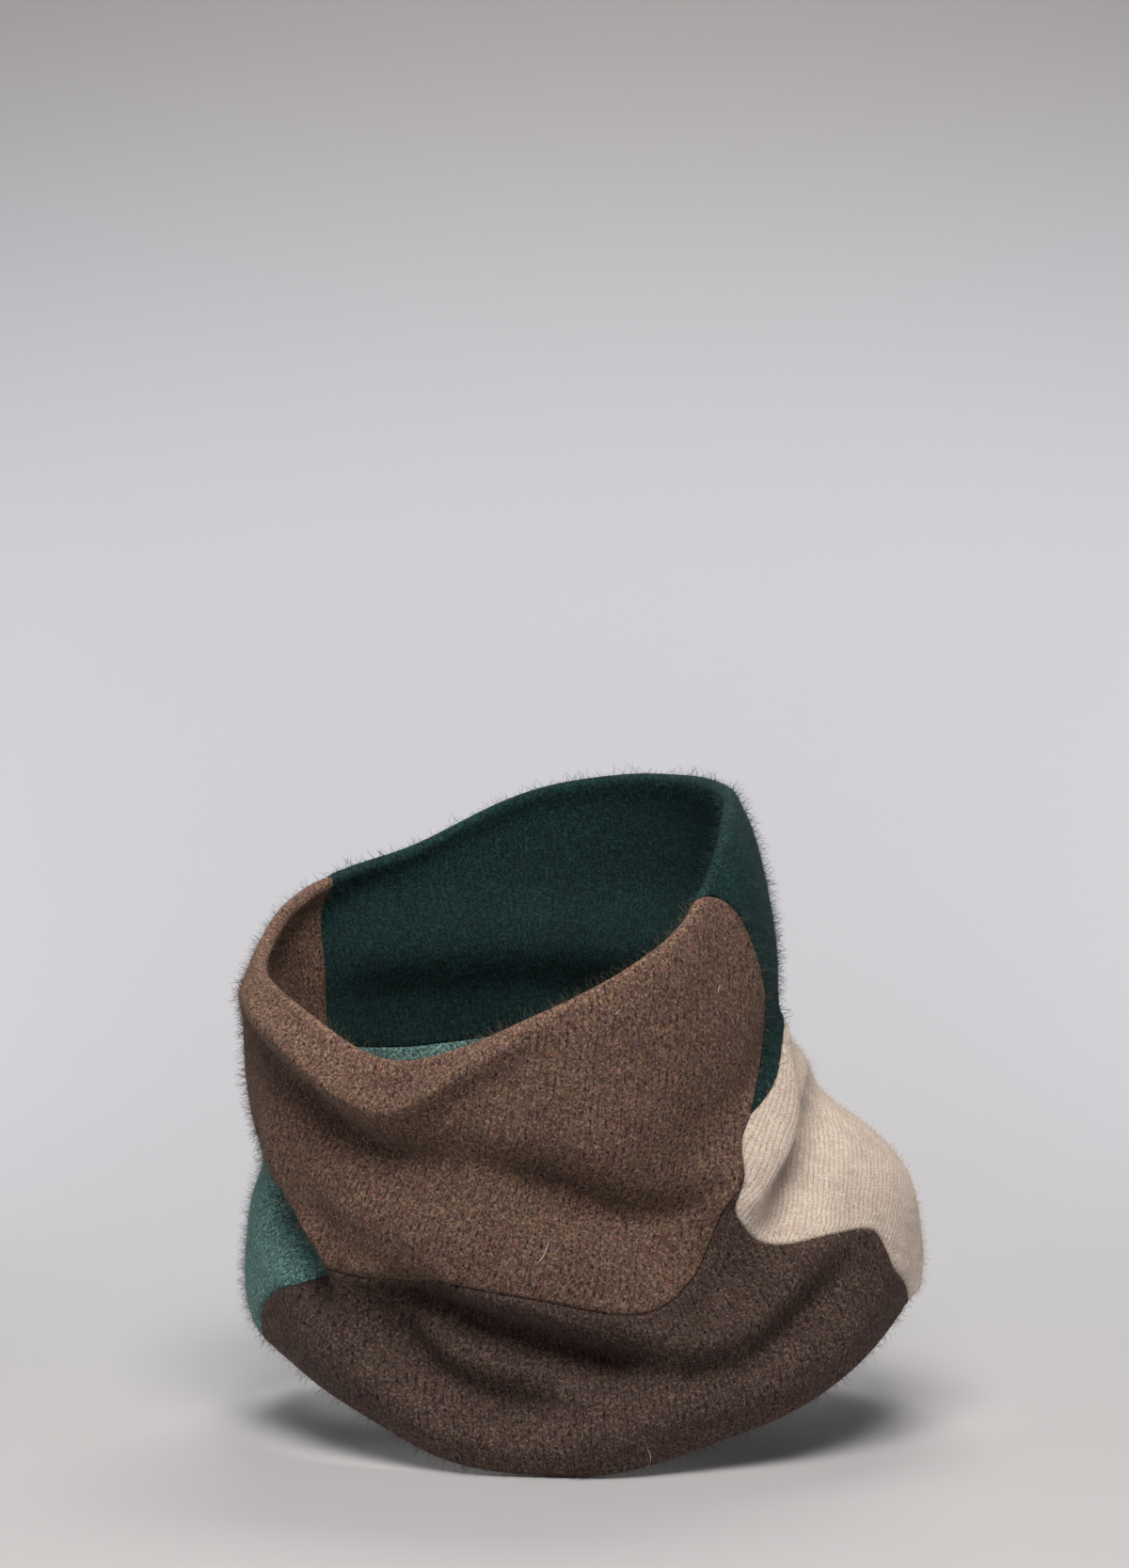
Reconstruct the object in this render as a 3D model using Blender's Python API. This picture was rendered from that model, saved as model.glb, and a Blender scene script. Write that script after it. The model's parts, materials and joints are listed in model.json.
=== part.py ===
"""Patchwork neck warmer: five felted knit panels sewn edge to edge into one slouched tube.

Metres, +Z up. The front faces -Y, and the origin is the middle of the neck passage at its waist,
where the wearer's neck holds the cloth. Sizes in the tables are millimetres and become metres
when a mesh is made. A place on the cloth is a direction in degrees (0 front, 90 right, 180 back,
-90 left, seen from the front) and a share of the height from the hem, 0, to the rim, 1.
"""

import bpy
import numpy as np

MM = 0.001

WALL = 3.6  # two felted layers lying together
EDGE_ROLL = 2.5  # half thickness of the rolled fold at the rim and the hem
EDGE_ROLL_REACH = 9.0  # how far below the edge the roll thins back to the wall
SEAM_GAP = 0.3
SEAM_SHARE_OF_WALL = 0.55  # the wall is pressed thinner along a seam
SEAM_SOFTENING = 3.0  # width of the pressed strip beside a seam
SEAM_STEPS = (2.4,)  # row of the mesh beside a seam
ROLL_STEPS = (0.3 * EDGE_ROLL, 1.1 * EDGE_ROLL)  # rows of the mesh round a rolled edge
NARROWEST_FOLD = 6.5  # least spread of a fold, to suit the faces of the mesh
SIDE_FOLLOWING = 3  # how fast the lines of a grid straighten away from a curved side
SHARPEST_CORNER = 0.08  # keeps a pointed corner's inset under 25 times half the gap

# Height of both edges of the tube.
EDGES = (
    # direction, hem, rim
    (-160, -63, 88),
    (-130, -63, 77),
    (-110, -61, 67),
    (-90, -58, 56),
    (-70, -60.5, 50),
    (-45, -71.5, 40),
    (-22, -84.5, 30),
    (0, -87.5, 38),
    (30, -75, 54),
    (50, -62, 68),
    (60, -54.5, 78),
    (75, -48.3, 96),
    (92, -49, 105),
    (135, -55, 110),
    (180, -62, 100),
)

# Outline of the tube, one row for each ring.
RINGS = (
    # share, left, right, front, back
    (0.00, -92.0, 112.0, -95, 86),
    (0.06, -94.5, 113.5, -98.5, 88),
    (0.14, -95.5, 112.5, -99.5, 88),
    (0.25, -95.0, 107.5, -98.5, 86),
    (0.35, -93.0, 91.8, -97, 81),
    (0.40, -90.8, 82.5, -96.3, 78.5),
    (0.45, -89.5, 79.3, -95.5, 76),
    (0.54, -91.5, 68.4, -94.5, 73),
    (0.64, -94.5, 68.0, -93.2, 72),
    (0.76, -96.3, 67.0, -91.8, 73),
    (0.88, -97.0, 62.8, -89.5, 75),
    (0.95, -95.0, 59.0, -88, 75),
    (1.00, -91.0, 54.5, -86, 73),
)

# Folds: how far each stands out (or in, below zero), how far it spreads above and below its
# line, over how many degrees it fades at its two ends, and its line as directions and shares.
FOLDS = (
    # name, out, above, below, fade_left, fade_right, line
    ("rolled_lip", 5.5, 3.5, 4.5, 38, 30,
     ((-92, 0.935), (-62, 0.925), (-42, 0.895), (-30, 0.872), (-22, 0.87), (-13, 0.905),
      (0, 0.95), (26, 0.985))),
    ("lip_undercut", -5.5, 5, 13, 40, 46,
     ((-100, 0.82), (-69, 0.81), (-45, 0.78), (-24, 0.765), (4, 0.79))),
    ("standing_rim", 3.0, 30, 12, 25, 12,
     ((8, 1.0), (35, 1.0), (62, 1.0))),
    ("long_valley", -5.5, 7, 24, 60, 12,
     ((-75, 0.80), (-45, 0.76), (-16, 0.745), (0, 0.69), (10, 0.635), (19.5, 0.565), (28, 0.50),
      (37, 0.465), (46, 0.46))),
    ("valley_end", -5.5, 3.5, 20, 20, 14,
     ((-8, 0.72), (4, 0.675), (14, 0.605), (24, 0.525), (33, 0.475), (44, 0.46))),
    ("lower_swag", 1.5, 15, 12, 30, 20,
     ((-66, 0.53), (-40, 0.58), (-18, 0.58), (0, 0.51), (13, 0.42), (30, 0.40))),
    ("band_trough", -12.0, 5, 12, 13, 10,
     ((-41, 0.285), (-37, 0.325), (-33, 0.358), (-27, 0.392), (-20, 0.392), (-13, 0.362),
      (-6, 0.333), (0, 0.295), (6, 0.255), (11, 0.225), (16, 0.20))),
    ("band_tail", -4.5, 5, 7, 10, 18,
     ((8, 0.22), (15, 0.19), (24, 0.162), (30, 0.165), (36, 0.188), (42, 0.21), (50, 0.228),
      (60, 0.235))),
    ("short_trough", -9.5, 9, 7, 16, 16,
     ((-46, 0.285), (-40, 0.262), (-31, 0.225), (-24, 0.19), (-16, 0.165), (-7, 0.15),
      (5, 0.14))),
    ("corner_valley", -3.5, 5, 5, 5, 6,
     ((19, 0.275), (26, 0.305), (31, 0.332), (39, 0.37))),
    ("corner_ridge", 3.0, 5, 6, 8, 12,
     ((10, 0.255), (20, 0.24), (30, 0.238), (39, 0.262), (46, 0.278), (58, 0.262))),
    ("hem_swag", 3.0, 9, 11, 25, 25,
     ((-66, 0.18), (-34, 0.12), (-10, 0.10), (12, 0.12), (36, 0.10), (70, 0.13))),
    ("shoulder_ridge", 4.5, 11, 3, 10, 14,
     ((38, 0.385), (48.5, 0.41), (57, 0.437), (67, 0.48), (76, 0.52), (92, 0.57))),
    ("shoulder_valley", -5.5, 3, 7, 10, 18,
     ((38, 0.345), (48.5, 0.37), (54, 0.39), (63, 0.408), (74, 0.42), (96, 0.45))),
    ("left_hollow", -10.0, 5, 9, 8, 8,
     ((-70, 0.48), (-61, 0.42), (-54, 0.37), (-45, 0.33))),
    ("back_valley", -6.0, 12, 10, 30, 30,
     ((105, 0.72), (140, 0.66), (175, 0.70), (215, 0.78), (240, 0.80))),
    ("back_trough", -6.5, 8, 8, 25, 25,
     ((100, 0.25), (130, 0.30), (165, 0.26), (205, 0.31), (250, 0.24))),
    ("back_short_trough", -3.5, 7, 6, 15, 15,
     ((150, 0.46), (180, 0.44), (212, 0.50))),
)

# Seam lines. The waist seam runs once round the tube between the upper and the lower panels.
WAIST_LEFT = ((-130, 0.60), (-100, 0.62), (-80, 0.61), (-65, 0.565), (-56, 0.49), (-46, 0.39))
WAIST_FRONT = ((-46, 0.39), (-32, 0.42), (-18, 0.435), (-6, 0.40), (8, 0.34), (18, 0.325),
               (26, 0.35))
WAIST_RISE = ((26, 0.35), (34, 0.41), (41, 0.445), (46, 0.465))
WAIST_TIP = ((46, 0.465), (51, 0.505), (56, 0.52))
WAIST_RIGHT = ((56, 0.52), (65, 0.515), (73, 0.53), (82, 0.56), (96, 0.585), (120, 0.57),
               (150, 0.54), (180, 0.53))
WAIST_BACK = ((180, 0.53), (205, 0.555), (230, 0.60))
FRONT_TO_BACK_SEAM = ((56, 0.52), (65, 0.555), (71, 0.62), (69.5, 0.70), (67.5, 0.80),
                      (65, 0.90), (61, 0.97), (57, 1.0))
LEFT_TO_BACK_SEAM = ((-130, 0.60), (-130, 1.0))
BAND_TO_LEFT_SEAM = ((-73, 0.0), (-68, 0.11), (-62, 0.20), (-54, 0.28), (-48, 0.34),
                     (-46, 0.39))
BAND_TO_SHOULDER_SEAM = ((72, 0.0), (67, 0.07), (62, 0.14), (60.5, 0.22), (55, 0.27),
                         (46, 0.32), (41.5, 0.37), (42, 0.42), (46, 0.465))
CENTRE_BACK_SEAM = ((180, 0.0), (180, 0.53))

# Faces along each stretch of seam.
FACES = {
    "waist_left": 15,
    "waist_front": 20,
    "waist_rise": 9,
    "waist_tip": 4,
    "waist_right": 17,
    "waist_back": 8,
    "front_to_back": 17,
    "band": 18,
}

# sRGB colour as hex, roughness
BROWN = ("5b473b", 0.95)
DARK_BROWN = ("3f332e", 0.95)
TEAL = ("4b625f", 0.95)
PETROL = ("203a3a", 0.95)
CREAM = ("c9b9ac", 0.9)


def curve_through(known, values, at):
    """A smooth curve (natural cubic) through the rows of a table."""
    known = np.asarray(known, float)
    values = np.asarray(values, float)
    step = np.diff(known)
    slope = np.diff(values) / step
    count = len(known)
    system = np.eye(count)
    target = np.zeros(count)
    for row in range(1, count - 1):
        system[row, row - 1:row + 2] = step[row - 1], 2 * (step[row - 1] + step[row]), step[row]
        target[row] = 6 * (slope[row] - slope[row - 1])
    bend = np.linalg.solve(system, target)
    at = np.asarray(at, float)
    left = np.clip(np.searchsorted(known, at) - 1, 0, count - 2)
    width = step[left]
    before = known[left + 1] - at
    after = at - known[left]
    cubic = (bend[left] * before**3 + bend[left + 1] * after**3) / (6 * width)
    start = (values[left] / width - bend[left] * width / 6) * before
    end = (values[left + 1] / width - bend[left + 1] * width / 6) * after
    return cubic + start + end


def edge_height(column, direction):
    """Height of the hem (column 1) or the rim (column 2) in a direction."""
    table = np.array(EDGES, float)
    rows = np.concatenate([table[:, 0] - 360, table[:, 0], table[:, 0] + 360])
    heights = np.tile(table[:, column], 3)
    return curve_through(rows, heights, (direction + 180) % 360 - 180)


def plain_tube(direction, share):
    """Outside of the tube before it has folds."""
    rings = np.array(RINGS, float)
    left, right, front, back = (curve_through(rings[:, 0], rings[:, side], share)
                                for side in (1, 2, 3, 4))
    turn = np.radians(direction)
    x = (left + right) / 2 + (right - left) / 2 * np.sin(turn)
    y = (front + back) / 2 - (back - front) / 2 * np.cos(turn)
    hem = edge_height(1, direction)
    z = hem + (edge_height(2, direction) - hem) * share
    return np.stack([x, y, z], axis=-1)


def outward(surface, direction, share):
    """Unit vector square to a surface, pointing away from the neck."""
    turn_step = 0.5
    share_step = 0.004
    upper = np.minimum(share + share_step, 1)
    lower = np.maximum(share - share_step, 0)
    round_it = surface(direction + turn_step, share) - surface(direction - turn_step, share)
    up_it = surface(direction, upper) - surface(direction, lower)
    vector = np.cross(round_it, up_it)
    return vector / np.linalg.norm(vector, axis=-1, keepdims=True)


def ease(value):
    """0 below 0, 1 above 1, and smooth between."""
    value = np.clip(value, 0, 1)
    return value * value * (3 - 2 * value)


def fold_height(direction, share):
    """How far the folds lift the cloth off the plain tube."""
    tall = edge_height(2, direction) - edge_height(1, direction)
    lift = np.zeros(direction.shape)
    for _, out, above, below, fade_left, fade_right, line in FOLDS:
        turns, shares = np.array(line, float).T
        middle = (turns[0] + turns[-1]) / 2
        near = (direction - middle + 180) % 360 - 180 + middle
        on_line = curve_through(turns, shares, np.clip(near, turns[0], turns[-1]))
        away = (share - on_line) * tall
        spread = np.maximum(np.where(away > 0, above, below), NARROWEST_FOLD)
        fade = ease((near - turns[0]) / fade_left) * ease((turns[-1] - near) / fade_right)
        lift += out * np.exp(-(away / spread) ** 2) * fade
    return lift


def cloth(direction, share):
    """Outside of the folded cloth, in millimetres."""
    direction, share = np.broadcast_arrays(np.asarray(direction, float), share)
    lift = fold_height(direction, share)[..., None]
    return plain_tube(direction, share) + lift * outward(plain_tube, direction, share)


def travelled(points):
    """Length from the first of a row of points to each of them."""
    steps = np.linalg.norm(np.diff(points, axis=0), axis=-1)
    return np.concatenate([[0], np.cumsum(steps)])


def evenly(places, faces):
    """The same line of places, spaced evenly on the cloth."""
    along = travelled(cloth(places[:, 0], places[:, 1]))
    at = np.linspace(0, along[-1], faces + 1)
    return np.stack([np.interp(at, along, column) for column in places.T], axis=-1)


def seam(line, faces):
    """Places along a seam line."""
    line = np.array(line, float)
    rough = travelled(cloth(line[:, 0], line[:, 1]))
    dense = np.linspace(0, rough[-1], 40 * len(line))
    places = np.stack([curve_through(rough, column, dense) for column in line.T], axis=-1)
    places[:, 1] = np.clip(places[:, 1], 0, 1)
    return evenly(places, faces)


def edge(start, end, share, faces):
    """Places along the hem or the rim."""
    turns = np.linspace(start, end, 200)
    return evenly(np.stack([turns, np.full(turns.shape, float(share))], axis=-1), faces)


def joined(*sides):
    """Stretches of seam that follow one another, as one side of a panel."""
    parts = [sides[0]] + [side[1:] for side in sides[1:]]
    return np.concatenate(parts)


def turned(side, degrees):
    """The same side of a panel, named by directions a full turn away."""
    return side + np.array([degrees, 0.0])


def filled(bottom, top, left, right):
    """A grid of places between four sides. Its lines bend along a side only close to it."""
    across = np.linspace(0, 1, len(bottom))[:, None, None]
    up = np.linspace(0, 1, len(left))[None, :, None]
    straight = (1 - up) * bottom[:, None] + up * top[:, None]
    left_bend = left[None, :] - straight[:1]
    right_bend = right[None, :] - straight[-1:]
    return (straight + left_bend * (1 - across) ** SIDE_FOLLOWING
            + right_bend * across ** SIDE_FOLLOWING)


def toward(side, inner, distance):
    """Places a set distance in from a side of a grid, on the way to its next row."""
    gap = np.linalg.norm(cloth(inner[:, 0], inner[:, 1]) - cloth(side[:, 0], side[:, 1]), axis=-1)
    part = np.minimum(distance / gap, 0.7)
    return side + (inner - side) * part[:, None]


def with_close_rows(grid, axis, first_steps, last_steps):
    """Adds rows beside the two ends of a grid, where the wall thins or rounds off."""
    rows = np.moveaxis(grid, axis, 0)
    first = [toward(rows[0], rows[1], step) for step in first_steps]
    last = [toward(rows[-1], rows[-2], step) for step in reversed(last_steps)]
    return np.moveaxis(np.array([rows[0], *first, *rows[1:-1], *last, rows[-1]]), 0, axis)


SIDES = {
    "bottom": lambda grid: grid[:, 0],
    "top": lambda grid: grid[:, -1],
    "left": lambda grid: grid[0],
    "right": lambda grid: grid[-1],
}


def inset(points, normals, rolled):
    """Moves the sewn sides of a grid inwards by half the gap between two panels."""
    pull = {}
    for name, side_of in SIDES.items():
        row = side_of(points)
        inner = {"bottom": points[:, 1], "top": points[:, -2],
                 "left": points[1], "right": points[-2]}[name]
        inwards = np.cross(side_of(normals), np.gradient(row, axis=0))
        inwards /= np.linalg.norm(inwards, axis=-1, keepdims=True)
        facing = np.sign(np.sum(inwards * (inner - row), axis=-1).sum())
        pull[name] = inwards * facing if name != rolled else np.zeros_like(row)
    shift = np.zeros_like(points)
    for name, side_of in SIDES.items():
        side_of(shift)[1:-1] = pull[name][1:-1]
    for column, left_or_right in ((0, "left"), (-1, "right")):
        for row, bottom_or_top in ((0, "bottom"), (-1, "top")):
            one = pull[left_or_right][row]
            other = pull[bottom_or_top][column]
            both = (one + other) / max(1 + one @ other, SHARPEST_CORNER)
            shift[column, row] = both if rolled != bottom_or_top else one
    return points + shift * SEAM_GAP / 2


def distances(points):
    """Distance along the grid lines from each place to each of the four sides."""
    across = np.zeros(points.shape[:2])
    across[1:] = np.cumsum(np.linalg.norm(np.diff(points, axis=0), axis=-1), axis=0)
    up = np.zeros(points.shape[:2])
    up[:, 1:] = np.cumsum(np.linalg.norm(np.diff(points, axis=1), axis=-1), axis=1)
    return {"left": across, "right": across[-1:] - across, "bottom": up, "top": up[:, -1:] - up}


def half_thickness(points, rolled):
    """Half the wall: thin beside a seam, full on the panel, rounded off at the rolled edge."""
    reach = distances(points)
    half = np.full(points.shape[:2], WALL / 2)
    from_roll = reach[rolled]
    half += (EDGE_ROLL - WALL / 2) * (1 - ease(from_roll / EDGE_ROLL_REACH))
    for name, away in reach.items():
        if name != rolled:
            half *= SEAM_SHARE_OF_WALL + (1 - SEAM_SHARE_OF_WALL) * ease(away / SEAM_SOFTENING)
    into_roll = np.clip(from_roll / EDGE_ROLL, 0, 1)
    return half * np.sqrt(1 - (1 - into_roll) ** 2)


def panel(name, finish, rolled, bottom, top, left, right):
    """One panel: a closed wall over its patch of the tube, rounded where its edge is rolled."""
    grid = with_close_rows(filled(bottom, top, left, right), 0, SEAM_STEPS, SEAM_STEPS)
    if rolled == "top":
        grid = with_close_rows(grid, 1, SEAM_STEPS, ROLL_STEPS)
    else:
        grid = with_close_rows(grid, 1, ROLL_STEPS, SEAM_STEPS)
    points = cloth(grid[..., 0], grid[..., 1])
    normals = outward(cloth, grid[..., 0], grid[..., 1])
    half = half_thickness(points, rolled)[..., None]
    middle = inset(points, normals, rolled) - normals * WALL / 2
    outside = middle + normals * half
    inside = middle - normals * half
    columns, rows = grid.shape[:2]
    count = columns * rows
    outer = np.arange(count).reshape(columns, rows)
    inner = outer + count
    SIDES[rolled](inner)[...] = SIDES[rolled](outer)
    faces = []
    for i in range(columns - 1):
        for j in range(rows - 1):
            faces.append((outer[i, j], outer[i + 1, j], outer[i + 1, j + 1], outer[i, j + 1]))
            faces.append((inner[i, j], inner[i, j + 1], inner[i + 1, j + 1], inner[i + 1, j]))
    rims = (
        (outer[:, 0], inner[:, 0], False),
        (outer[-1], inner[-1], False),
        (outer[:, -1], inner[:, -1], True),
        (outer[0], inner[0], True),
    )
    # Both panels at a seam split its wall along the same diagonals, so the gap stays even.
    for outer_rim, inner_rim, runs_clockwise in rims:
        for k in range(len(outer_rim) - 1):
            for face in ((outer_rim[k], inner_rim[k], inner_rim[k + 1]),
                         (outer_rim[k], inner_rim[k + 1], outer_rim[k + 1])):
                if len(set(face)) == 3:
                    faces.append(face[::-1] if runs_clockwise else face)
    vertices = np.concatenate([outside.reshape(-1, 3), inside.reshape(-1, 3)]) * MM
    return make_object(name, finish, vertices, faces)


def make_object(name, finish, vertices, faces):
    """A smooth-shaded object from points and faces, without the points no face uses."""
    used = sorted({corner for face in faces for corner in face})
    renumbered = {old: new for new, old in enumerate(used)}
    mesh = bpy.data.meshes.new(name)
    mesh.from_pydata([tuple(vertices[k]) for k in used], [],
                     [tuple(renumbered[k] for k in face) for face in faces])
    mesh.materials.append(felted_knit(name, *finish))
    mesh.shade_smooth()
    mesh.validate()
    piece = bpy.data.objects.new(name, mesh)
    bpy.context.scene.collection.objects.link(piece)
    return piece


def felted_knit(name, colour, roughness):
    """Felted wool of one colour."""
    material = bpy.data.materials.new(name + "_wool")
    material.use_nodes = True
    shader = material.node_tree.nodes["Principled BSDF"]
    parts = np.array([int(colour[k:k + 2], 16) for k in (0, 2, 4)]) / 255
    linear = np.where(parts <= 0.04045, parts / 12.92, ((parts + 0.055) / 1.055) ** 2.4)
    shader.inputs["Base Color"].default_value = (*linear, 1.0)
    shader.inputs["Roughness"].default_value = roughness
    shader.inputs["Metallic"].default_value = 0.0
    return material


def clear_scene():
    for thing in list(bpy.data.objects):
        bpy.data.objects.remove(thing, do_unlink=True)


def build():
    clear_scene()
    waist_left = seam(WAIST_LEFT, FACES["waist_left"])
    waist_front = seam(WAIST_FRONT, FACES["waist_front"])
    waist_rise = seam(WAIST_RISE, FACES["waist_rise"])
    waist_tip = seam(WAIST_TIP, FACES["waist_tip"])
    waist_right = seam(WAIST_RIGHT, FACES["waist_right"])
    waist_back = seam(WAIST_BACK, FACES["waist_back"])
    front_to_back = seam(FRONT_TO_BACK_SEAM, FACES["front_to_back"])
    band_left = seam(BAND_TO_LEFT_SEAM, FACES["band"])
    band_right = seam(BAND_TO_SHOULDER_SEAM, FACES["band"])
    hem_left, hem_right = BAND_TO_LEFT_SEAM[0][0], BAND_TO_SHOULDER_SEAM[0][0]
    rim_left, rim_right = LEFT_TO_BACK_SEAM[-1][0], FRONT_TO_BACK_SEAM[-1][0]

    front_bottom = joined(waist_left, waist_front)
    front_right = joined(waist_rise, waist_tip, front_to_back)
    panel("front_panel", BROWN, "top",
          bottom=front_bottom,
          top=edge(rim_left, rim_right, 1, len(front_bottom) - 1),
          left=seam(LEFT_TO_BACK_SEAM, len(front_right) - 1),
          right=front_right)

    band_top = joined(waist_front, waist_rise)
    panel("front_band", DARK_BROWN, "bottom",
          bottom=edge(hem_left, hem_right, 0, len(band_top) - 1),
          top=band_top,
          left=band_left,
          right=band_right)

    left_top = joined(turned(waist_back, -360), waist_left)
    panel("left_panel", TEAL, "bottom",
          bottom=edge(-180, hem_left, 0, len(left_top) - 1),
          top=left_top,
          left=turned(seam(CENTRE_BACK_SEAM, FACES["band"]), -360),
          right=band_left)

    shoulder_left = joined(band_right, waist_tip)
    panel("shoulder_panel", CREAM, "bottom",
          bottom=edge(hem_right, 180, 0, len(waist_right) - 1),
          top=waist_right,
          left=shoulder_left,
          right=seam(CENTRE_BACK_SEAM, len(shoulder_left) - 1))

    back_bottom = joined(waist_right, waist_back)
    panel("back_panel", PETROL, "top",
          bottom=back_bottom,
          top=edge(rim_right, rim_left + 360, 1, len(back_bottom) - 1),
          left=front_to_back,
          right=turned(seam(LEFT_TO_BACK_SEAM, FACES["front_to_back"]), 360))


build()
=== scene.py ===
import json

import bpy
import numpy as np
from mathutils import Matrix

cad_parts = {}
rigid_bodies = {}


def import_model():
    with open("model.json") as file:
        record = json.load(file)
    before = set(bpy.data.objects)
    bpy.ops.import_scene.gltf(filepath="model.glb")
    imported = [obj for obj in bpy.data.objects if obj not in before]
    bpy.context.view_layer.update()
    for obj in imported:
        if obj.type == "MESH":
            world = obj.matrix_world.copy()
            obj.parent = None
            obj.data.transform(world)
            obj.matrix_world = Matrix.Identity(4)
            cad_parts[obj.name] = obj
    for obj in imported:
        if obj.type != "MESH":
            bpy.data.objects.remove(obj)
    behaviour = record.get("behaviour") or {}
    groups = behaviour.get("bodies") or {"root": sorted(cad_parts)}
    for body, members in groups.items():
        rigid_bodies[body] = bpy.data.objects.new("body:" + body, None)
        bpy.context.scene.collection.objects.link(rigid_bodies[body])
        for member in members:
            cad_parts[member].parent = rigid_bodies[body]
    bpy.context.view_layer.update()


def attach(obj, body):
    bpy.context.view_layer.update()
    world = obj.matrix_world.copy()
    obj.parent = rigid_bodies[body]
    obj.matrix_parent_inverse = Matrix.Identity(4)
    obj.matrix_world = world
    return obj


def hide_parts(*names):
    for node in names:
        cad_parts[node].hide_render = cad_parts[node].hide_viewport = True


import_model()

# ============================================================
# Front panel. A patch of brown felted wool knit, used double, that makes the whole upper front
# and wraps round the left side. Its top edge is the fold of the double cloth, turned over
# softly as the rim. It is sewn edge to edge to its neighbours, with the seam allowances inside.
# ============================================================

MM = 0.001

# Height of both edges of the tube, in millimetres. Directions are degrees: 0 is the front, 90
# the side where the hem spreads, 180 the back and -90 the side with the rolled lip.
EDGES = (
    # direction, hem, rim
    (-160, -63, 88),
    (-130, -63, 77),
    (-110, -61, 67),
    (-90, -58, 56),
    (-70, -60.5, 50),
    (-45, -71.5, 40),
    (-22, -84.5, 30),
    (0, -87.5, 38),
    (30, -75, 54),
    (50, -62, 68),
    (60, -54.5, 78),
    (75, -48.3, 96),
    (92, -49, 105),
    (135, -55, 110),
    (180, -62, 100),
)

# Outline of the tube, one row for each ring, in millimetres. A share is a part of the height
# from the hem, 0, to the rim, 1.
RINGS = (
    # share, left, right, front, back
    (0.00, -92.0, 112.0, -95, 86),
    (0.06, -94.5, 113.5, -98.5, 88),
    (0.14, -95.5, 112.5, -99.5, 88),
    (0.25, -95.0, 107.5, -98.5, 86),
    (0.35, -93.0, 91.8, -97, 81),
    (0.40, -90.8, 82.5, -96.3, 78.5),
    (0.45, -89.5, 79.3, -95.5, 76),
    (0.54, -91.5, 68.4, -94.5, 73),
    (0.64, -94.5, 68.0, -93.2, 72),
    (0.76, -96.3, 67.0, -91.8, 73),
    (0.88, -97.0, 62.8, -89.5, 75),
    (0.95, -95.0, 59.0, -88, 75),
    (1.00, -91.0, 54.5, -86, 73),
)

# Folds: how far each stands out (or in, below zero), how far it spreads above and below its
# line, over how many degrees it fades at its two ends, and its line as directions and shares.
FOLDS = (
    # name, out, above, below, fade_left, fade_right, line
    ("rolled_lip", 5.5, 3.5, 4.5, 38, 30,
     ((-92, 0.935), (-62, 0.925), (-42, 0.895), (-30, 0.872), (-22, 0.87), (-13, 0.905),
      (0, 0.95), (26, 0.985))),
    ("lip_undercut", -5.5, 5, 13, 40, 46,
     ((-100, 0.82), (-69, 0.81), (-45, 0.78), (-24, 0.765), (4, 0.79))),
    ("standing_rim", 3.0, 30, 12, 25, 12,
     ((8, 1.0), (35, 1.0), (62, 1.0))),
    ("long_valley", -5.5, 7, 24, 60, 12,
     ((-75, 0.80), (-45, 0.76), (-16, 0.745), (0, 0.69), (10, 0.635), (19.5, 0.565), (28, 0.50),
      (37, 0.465), (46, 0.46))),
    ("valley_end", -5.5, 3.5, 20, 20, 14,
     ((-8, 0.72), (4, 0.675), (14, 0.605), (24, 0.525), (33, 0.475), (44, 0.46))),
    ("lower_swag", 1.5, 15, 12, 30, 20,
     ((-66, 0.53), (-40, 0.58), (-18, 0.58), (0, 0.51), (13, 0.42), (30, 0.40))),
    ("band_trough", -13.3, 5, 12, 13, 10,
     ((-41, 0.285), (-37, 0.325), (-33, 0.358), (-27, 0.392), (-20, 0.392), (-13, 0.362),
      (-6, 0.333), (0, 0.295), (6, 0.255), (11, 0.225), (16, 0.20))),
    ("band_tail", -4.5, 5, 7, 10, 18,
     ((8, 0.22), (15, 0.19), (24, 0.162), (30, 0.165), (36, 0.188), (42, 0.21), (50, 0.228),
      (60, 0.235))),
    ("short_trough", -10.5, 9, 7, 16, 16,
     ((-46, 0.285), (-40, 0.262), (-31, 0.225), (-24, 0.19), (-16, 0.165), (-7, 0.15),
      (5, 0.14))),
    ("corner_valley", -3.5, 5, 5, 5, 6,
     ((19, 0.275), (26, 0.305), (31, 0.332), (39, 0.37))),
    ("corner_ridge", 3.0, 5, 6, 8, 12,
     ((10, 0.255), (20, 0.24), (30, 0.238), (39, 0.262), (46, 0.278), (58, 0.262))),
    ("hem_swag", 3.0, 9, 11, 25, 25,
     ((-66, 0.18), (-34, 0.12), (-10, 0.10), (12, 0.12), (36, 0.10), (70, 0.13))),
    ("shoulder_ridge", 4.5, 11, 3, 10, 14,
     ((38, 0.385), (48.5, 0.41), (57, 0.437), (67, 0.48), (76, 0.52), (92, 0.57))),
    ("shoulder_valley", -5.5, 3, 7, 10, 18,
     ((38, 0.345), (48.5, 0.37), (54, 0.39), (63, 0.408), (74, 0.42), (96, 0.45))),
    ("left_swag", 4.0, 12, 2.5, 9, 7,
     ((-70, 0.565), (-64, 0.535), (-57, 0.475), (-49, 0.405), (-44, 0.35))),
    ("left_hollow", -12.5, 3.5, 12, 9, 8,
     ((-76, 0.46), (-66, 0.435), (-57, 0.385), (-50, 0.34), (-43, 0.28))),
    ("back_valley", -7.5, 12, 10, 30, 30,
     ((105, 0.72), (140, 0.66), (175, 0.70), (215, 0.78), (240, 0.80))),
    ("back_trough", -8.5, 8, 8, 25, 25,
     ((100, 0.25), (130, 0.30), (165, 0.26), (205, 0.31), (250, 0.24))),
    ("back_short_trough", -5.0, 7, 6, 15, 15,
     ((150, 0.46), (180, 0.44), (212, 0.50))),
)

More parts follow.
